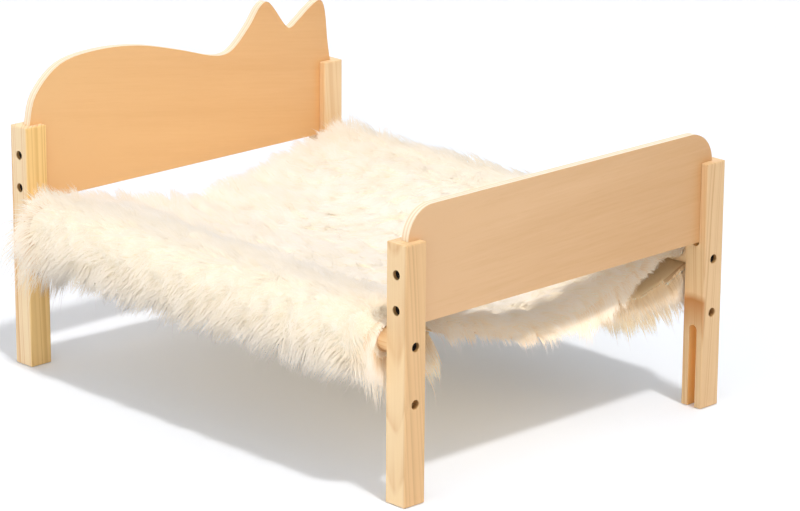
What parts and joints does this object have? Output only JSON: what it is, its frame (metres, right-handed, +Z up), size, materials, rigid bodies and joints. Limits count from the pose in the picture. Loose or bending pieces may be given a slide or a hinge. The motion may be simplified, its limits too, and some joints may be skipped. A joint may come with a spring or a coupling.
{
  "type": "cat hammock",
  "caption": "Low wooden cat hammock: slotted square posts carry a shaped headboard and a plain footboard, and a long-pile plush sling hangs between side rails.",
  "frame": {"origin": "the middle of the box round the object, on the floor under the posts", "axes": "+X to the right and along the width, +Y along the length from the footboard to the headboard, +Z up"},
  "size_m": [0.4556, 0.56, 0.321],
  "materials": {
    "pine": "planed light pine, clear oiled",
    "board": "light veneered plywood, satin clear coat",
    "dowel": "turned light pine dowel",
    "brass": "turned, dull",
    "black_steel": "black oxide, satin",
    "plush": "long-pile plush, cream white"
  },
  "bodies": {
    "frame": {"front_left_leg": "pine", "front_right_leg": "pine", "back_left_leg": "pine", "back_right_leg": "pine", "headboard": "board", "footboard": "board", "left_rail": "dowel", "right_rail": "dowel", "front_left_rail_insert": "brass", "front_right_rail_insert": "brass", "back_left_rail_insert": "brass", "back_right_rail_insert": "brass", "front_left_rail_bolt": "black_steel", "front_right_rail_bolt": "black_steel", "back_left_rail_bolt": "black_steel", "back_right_rail_bolt": "black_steel", "front_left_upper_screw": "black_steel", "front_right_upper_screw": "black_steel", "back_left_upper_screw": "black_steel", "back_right_upper_screw": "black_steel", "front_left_lower_screw": "black_steel", "front_right_lower_screw": "black_steel", "back_left_lower_screw": "black_steel", "back_right_lower_screw": "black_steel", "left_sleeve": "plush", "right_sleeve": "plush"},
    "sling": {"sling_bed": "plush", "left_flap": "plush", "right_flap": "plush"}
  },
  "joints": [
    {"name": "sling_sag", "type": "slide", "parent": "frame", "child": "sling", "axis": [0, 0, 1], "range_m": [-0.025, 0], "stiffness_N_per_m": 2000, "springref_m": 0.008}
  ]
}
